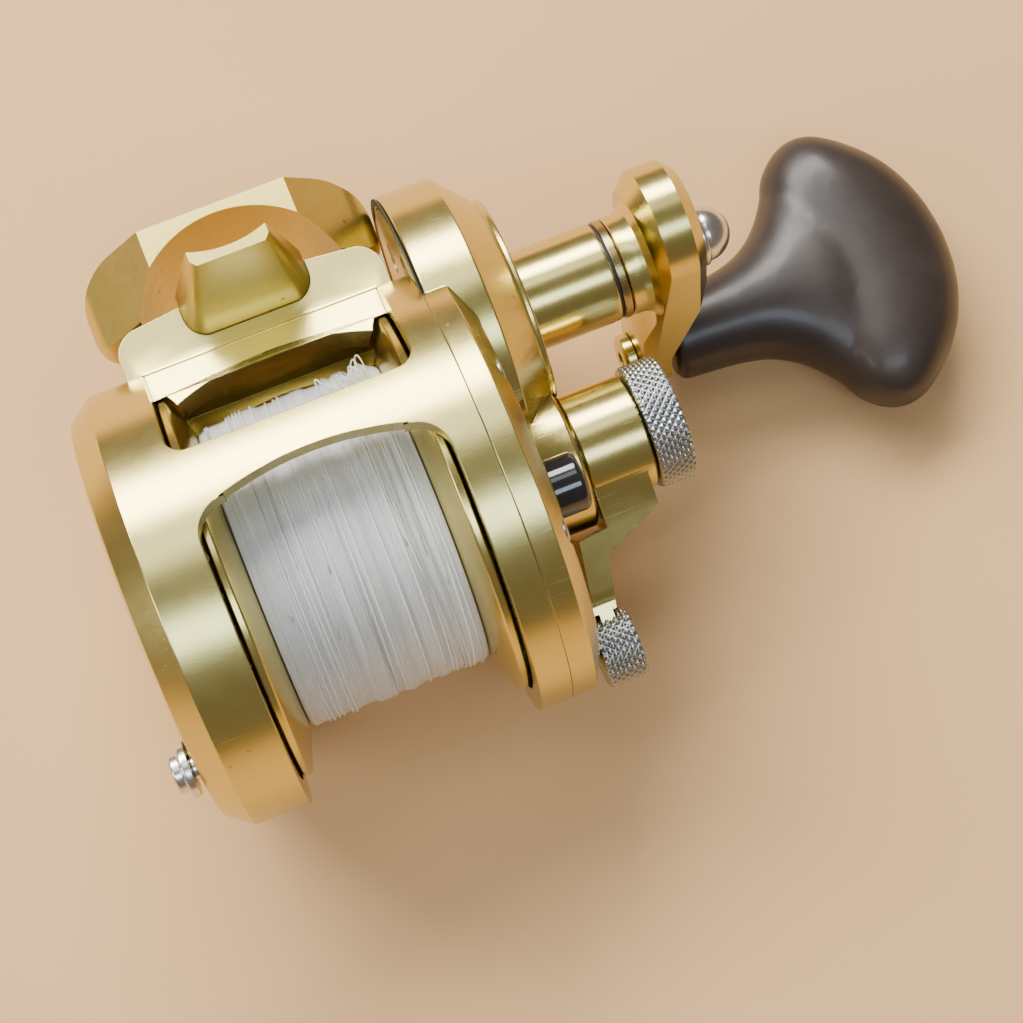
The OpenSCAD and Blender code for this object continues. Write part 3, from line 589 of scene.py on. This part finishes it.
def joint_shade_line():
    """A thin dark strip in the joint between the frame and the right plate, round the ring and the housing: the
    joint is real, and the strip paints the shade inside it.
    """
    half_width, depth, sunk, crown = 0.11, 1.2, 0.08, 0.04
    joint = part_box("right_side_plate")[0].x / MM
    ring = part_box("frame")[1].z / MM
    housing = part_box("right_side_plate")[1].y / MM - POST[0]
    for name, r, axis in (("v_joint_shade_ring", ring, SPOOL), ("v_joint_shade_housing", housing, POST)):
        outer = r - sunk
        left, right = joint - half_width, joint + half_width
        profile = [(left, outer - depth), (left, outer), (joint, outer + crown), (right, outer),
                   (right, outer - depth)]
        # dark seal material standing in for the shade inside the joint
        strip = sharpen(lathe(name, profile, axis, 200, closed=True))
        extra(strip, "right_side_plate", MAT["seal"])


joint_shade_line()

# ---------------------------------------------------------------- spool and line

bevelled("spool", 0.25)


def wound_line():
    """The top layer as real turns of line over a lumpy drum, with crossing turns and frayed
    loops. All sizes are in mm."""
    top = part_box("fishing_line")[1].z / MM
    wire = 0.17     # radius of the line
    pitch = 0.25    # from turn to turn
    half = 14.9     # half the width of the wound line
    margin = 0.3    # kept free at both ends
    level_to = 12.9  # the layer falls away towards its ends from here
    core = 14.5     # the drum's radius at its ends, out of sight
    rng = random.Random(7)

    def level(x, a):
        """Radius of the lumpy layer at a place along the spool and an angle round it."""
        edge = max(0.0, abs(x) - level_to)
        lump = noise.noise(Vector((x * 0.16, 1.1 * math.sin(a), 1.1 * math.cos(a)))) * 0.25
        shelf = noise.noise(Vector((x * 0.33, 7.0, 2.0 + 0.3 * math.sin(a)))) * 2.4
        shelf = 0.2 * max(-1.0, min(1.0, 3.0 * shelf))
        return top - wire - 0.75 - 0.16 * edge * edge + min(lump + shelf, 0.72)

    stations = 90
    xs = [-half + 2 * half * i / stations for i in range(stations + 1)]
    profile = [(-half + margin, core)] + [(x, top - 1) for x in xs] + [(half - margin, core)]
    obj = lathe("v_fishing_line", profile, SPOOL, 200,
                wave=lambda x, a, r: level(x, a) - 0.02 - r if r > core else 0.0)
    piece(obj, "fishing_line")

    # one long spiral, a little uneven
    turns = int((2 * half - 2 * margin) / pitch)
    steps = 96
    path = []
    for i in range(turns * steps):
        a = 2 * math.pi * (i % steps) / steps
        t = i / steps
        drift = noise.noise(Vector((t * 0.9, 0.5 * math.sin(a), 3)))
        lump = noise.noise(Vector((t * 2.1, math.sin(a), math.cos(a) + 9)))
        xx = -half + margin + pitch * t + 0.12 * drift
        rr = level(xx, a) - 0.06 + 0.035 * lump
        path.append((xx, rr * math.sin(a), rr * math.cos(a)))
    paths = [path]
    # crossing turns that lie over the layer
    for _ in range(60):
        a0 = rng.uniform(0, 2 * math.pi)
        span = rng.uniform(1.2, 4.5)
        x0 = rng.choice((rng.uniform(-13.8, 13.8), rng.uniform(8.0, 14.0)))
        lean = rng.uniform(-1.0, 1.0) * rng.choice((0.3, 0.6, 1.2, 3.0))
        path = []
        for i in range(48):
            t = i / 47
            a = a0 + span * t
            xx = max(-14.2, min(14.2, x0 + lean * t))
            lift = 0.30 * math.sin(math.pi * t) ** 0.4
            rr = min(level(xx, a) + lift, top - wire)
            path.append((xx, rr * math.sin(a), rr * math.cos(a)))
        paths.append(path)
    extra(tube("v_line_turns", paths, wire), "fishing_line")

    # frayed loops near the foot, where cut turns stand up
    loops = []
    for _ in range(11):
        a = math.radians(rng.uniform(46, 60))
        x0 = rng.choice((rng.uniform(9.0, 13.0), rng.uniform(4.5, 13.0)))
        tall = rng.uniform(0.3, 2.4)
        wide = rng.uniform(0.3, 1.1)
        lean = rng.uniform(-0.8, 0.8)
        path = []
        for i in range(16):
            t = i / 15
            rr = top - 1.2 + (1.2 + tall) * math.sin(math.pi * t) ** 0.7
            xx = x0 + wide * (t - 0.5) * 2 + lean * math.sin(math.pi * t)
            aa = a + 0.03 * math.sin(2 * math.pi * t) + 0.02 * lean * t
            path.append((xx, rr * math.sin(aa), rr * math.cos(aa)))
        loops.append(path)
    extra(tube("v_line_loops", loops, 0.12), "fishing_line")


wound_line()

# ---------------------------------------------------------------- handle

bevelled("handle_arm", 1.0, 4, 24)
bevelled("grip_axle", 0.25)


def dome_nut():
    """The domed nut that holds the arm: a thin washer with a ball on it."""
    low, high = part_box("handle_nut")
    x0, x1 = low.x / MM, high.x / MM
    r = (high.z - low.z) / 2 / MM
    ball = 4.6
    centre = x1 - ball
    profile = [(x0, 3.0), (x0, r - 0.25), (x0 + 0.25, r), (x0 + 0.8, r), (x0 + 1.0, r - 0.2),
               (x0 + 1.1, ball - 0.15)]
    for a in range(0, 91, 5):
        a = math.radians(a)
        profile.append((centre + ball * math.sin(a), ball * math.cos(a)))
    piece(sharpen(lathe("v_handle_nut", profile, POST, 96), 50), "handle_nut")


dome_nut()
bevelled("handle_lock_screw", 0.12, 2)


def smooth_curve(points, t):
    """Value at t of a smooth curve through (t, value) points."""
    for k in range(len(points) - 1):
        if t <= points[k + 1][0] or k == len(points) - 2:
            break
    p0 = points[max(k - 1, 0)]
    p1, p2 = points[k], points[k + 1]
    p3 = points[min(k + 2, len(points) - 1)]
    m1 = (p2[1] - p0[1]) / max(p2[0] - p0[0], 1e-9)
    m2 = (p3[1] - p1[1]) / max(p3[0] - p1[0], 1e-9)
    h = p2[0] - p1[0]
    u = min(max((t - p1[0]) / h, 0.0), 1.0)
    return ((2 * u ** 3 - 3 * u ** 2 + 1) * p1[1] + (u ** 3 - 2 * u ** 2 + u) * h * m1
            + (3 * u ** 2 - 2 * u ** 3) * p2[1] + (u ** 3 - u ** 2) * h * m2)


def loft(bm, rings):
    """Joins rings of points into a closed skin."""
    verts = [[bm.verts.new(Vector(p) * MM) for p in ring] for ring in rings]
    n = len(verts[0])
    for a, b in zip(verts, verts[1:]):
        for i in range(n):
            j = (i + 1) % n
            bm.faces.new((a[i], a[j], b[j], b[i]))
    bm.faces.new(list(reversed(verts[0])))
    bm.faces.new(verts[-1])


def moulded_grip():
    """The T grip: a bean-shaped cross bar and a flaring stem, melted into one skin. The tables
    hold (place, value) pairs in mm, and are drawn as smooth curves."""
    low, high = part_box("grip")
    thick = (high.z - low.z) / 2 / MM
    y0, y1 = low.y / MM, high.y / MM
    middle = (y0 + y1) / 2
    half = (y1 - y0) / 2
    front = high.x / MM
    around = [2 * math.pi * k / 64 for k in range(64)]
    # how far the front and the back of the cross bar lie behind its front-most point, and how
    # thick it is as a part of its full thickness, against the distance from its middle
    crown = [(0.0, 0.0), (6.0, 0.6), (12.0, 2.4), (17.0, 5.2), (21.0, 8.8), (24.0, 12.4),
             (25.6, 15.2), (half, 17.8)]
    hollow = [(0.0, 29.0), (8.0, 28.6), (12.0, 28.2), (17.0, 27.6), (21.0, 26.2), (24.0, 23.4),
              (25.6, 20.8), (half, 18.2)]
    deep = [(0.0, 1.0), (10.0, 0.99), (16.0, 0.94), (20.0, 0.84), (23.0, 0.68), (25.2, 0.44), (half, 0.05)]
    bm = bmesh.new()
    rings = []
    steps = 72
    for i in range(steps + 1):
        d = -half * math.cos(math.pi * i / steps)
        f = front - smooth_curve(crown, abs(d))
        b = front - smooth_curve(hollow, abs(d))
        rz = thick * smooth_curve(deep, abs(d))
        c, rx = (f + b) / 2, (f - b) / 2
        rings.append([(c + rx * math.cos(a), middle + d, GRIP[1] + rz * math.sin(a))
                      for a in around])
    loft(bm, rings)
    # stem: radius across and radius through, against the place along the axle
    stem_x0, stem_x1 = low.x / MM, 104.0
    wide = [(65.6, 7.4), (70.0, 7.6), (76.0, 8.2), (81.0, 9.3), (85.0, 11.4), (88.5, 14.6),
            (91.5, 18.4), (95.0, 19.5), (stem_x1, 13.0)]
    tall = [(65.6, 7.4), (74.0, 7.8), (82.0, 8.3), (90.0, 9.0), (97.0, 9.2), (stem_x1, 7.0)]
    rings = []
    stations = 60
    for i in range(stations + 1):
        x = stem_x0 + (stem_x1 - stem_x0) * i / stations
        ry, rz = smooth_curve(wide, x), smooth_curve(tall, x)
        rings.append([(x, GRIP[0] + ry * math.cos(a), GRIP[1] + rz * math.sin(a)) for a in around])
    loft(bm, rings)
    obj = made("v_grip", bm)
    m = obj.modifiers.new("skin", "REMESH")
    m.mode = "VOXEL"
    m.voxel_size = 0.6 * MM
    m.use_smooth_shade = True
    m = obj.modifiers.new("relax", "SMOOTH")
    m.factor = 0.5
    m.iterations = 40
    baked(obj)
    piece(obj, "grip")


moulded_grip()

# ---------------------------------------------------------------- drag lever, knobs and buttons

bevelled("drag_lever", 0.4)


def knobs():
    """The preset knob, with a shallow dish in its end, and the lever's knob."""
    low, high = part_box("preset_knob")
    r = high.z / MM
    x0, x1 = low.x / MM, high.x / MM
    dish = [(x1, 6.2), (x1 - 0.5, 5.8), (x1 - 0.5, 0.0)]
    piece(knurled("v_preset_knob", x0, x1, r, SPOOL, hollow=dish), "preset_knob")
    low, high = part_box("lever_knob")
    y = (low.y + high.y) / 2 / MM
    z = (low.z + high.z) / 2 / MM
    r = (high.z - low.z) / 2 / MM
    piece(knurled("v_lever_knob", low.x / MM, high.x / MM, r, (y, z)), "lever_knob")


knobs()
bevelled("strike_button", 0.45, 4)
bevelled("clicker_button", 0.2)

# ---------------------------------------------------------------- floor, light and camera

def stage():
    """A plain pale floor, just under the reel."""
    bm = bmesh.new()
    bmesh.ops.create_grid(bm, x_segments=8, y_segments=8, size=3.0)
    obj = made("floor", bm)
    obj.location = (0, 0, cad_low.z - 0.05 * MM)
    s = Shader("floor_pale")
    paper = s.noise(s.coord, 30.0, 4.0, 0.6)
    s.put(s.bsdf.inputs["Base Color"], s.mix(paper, (0.72, 0.425, 0.185), (0.74, 0.44, 0.195)))
    s.bsdf.inputs["Roughness"].default_value = 0.75
    obj.data.materials.append(s.mat)


def area(name, at, size_x, size_y, power, colour):
    """A rectangular soft light, in metres and watts, that faces the reel."""
    data = bpy.data.lights.new(name, "AREA")
    data.shape = "RECTANGLE"
    data.size = size_x
    data.size_y = size_y
    data.energy = power
    data.color = colour
    obj = bpy.data.objects.new(name, data)
    bpy.context.scene.collection.objects.link(obj)
    obj.location = at
    obj.rotation_euler = (-Vector(at)).to_track_quat("-Z", "Y").to_euler()


def lights():
    """One high window as in the photograph, three weak fills and a warm surrounding."""
    area("window_high", (-0.15, 0.80, 0.86), 1.3, 0.42, 33.0, (1.0, 0.98, 0.94))
    area("ceiling", (-0.1, 0.30, 1.15), 0.8, 0.30, 2.0, (0.86, 0.94, 1.0))
    area("cool_side", (-0.05, -0.50, 1.0), 0.8, 0.3, 5.0, (0.70, 0.85, 1.0))
    area("left_fill", (-1.1, -0.15, 0.75), 0.5, 0.5, 6.0, (1.0, 0.97, 0.92))
    world = bpy.data.worlds.new("soft")
    world.use_nodes = True
    background = world.node_tree.nodes["Background"]
    background.inputs["Color"].default_value = (1.0, 0.88, 0.70, 1)
    background.inputs["Strength"].default_value = 0.20
    bpy.context.scene.world = world


def camera():
    """The photograph's viewing angle, solved from the circles of the rings, the ends of the bars
    and the handle's axis: the picture's right, the direction back to the camera, and its place."""
    data = bpy.data.cameras.new("camera")
    data.sensor_width = 36.0
    data.lens = 78.9
    data.clip_start = 0.01
    obj = bpy.data.objects.new("camera", data)
    bpy.context.scene.collection.objects.link(obj)
    right = Vector((0.92658, -0.37609, 0.0))
    back = Vector((-0.09147, -0.22536, 0.96997)).normalized()
    right = (right - back * right.dot(back)).normalized()
    up = back.cross(right)
    m = Matrix((right, up, back)).transposed().to_4x4()
    m.translation = Vector((-5.90, -85.46, 346.0)) * MM
    obj.matrix_world = m
    bpy.context.scene.camera = obj


stage()
lights()
camera()
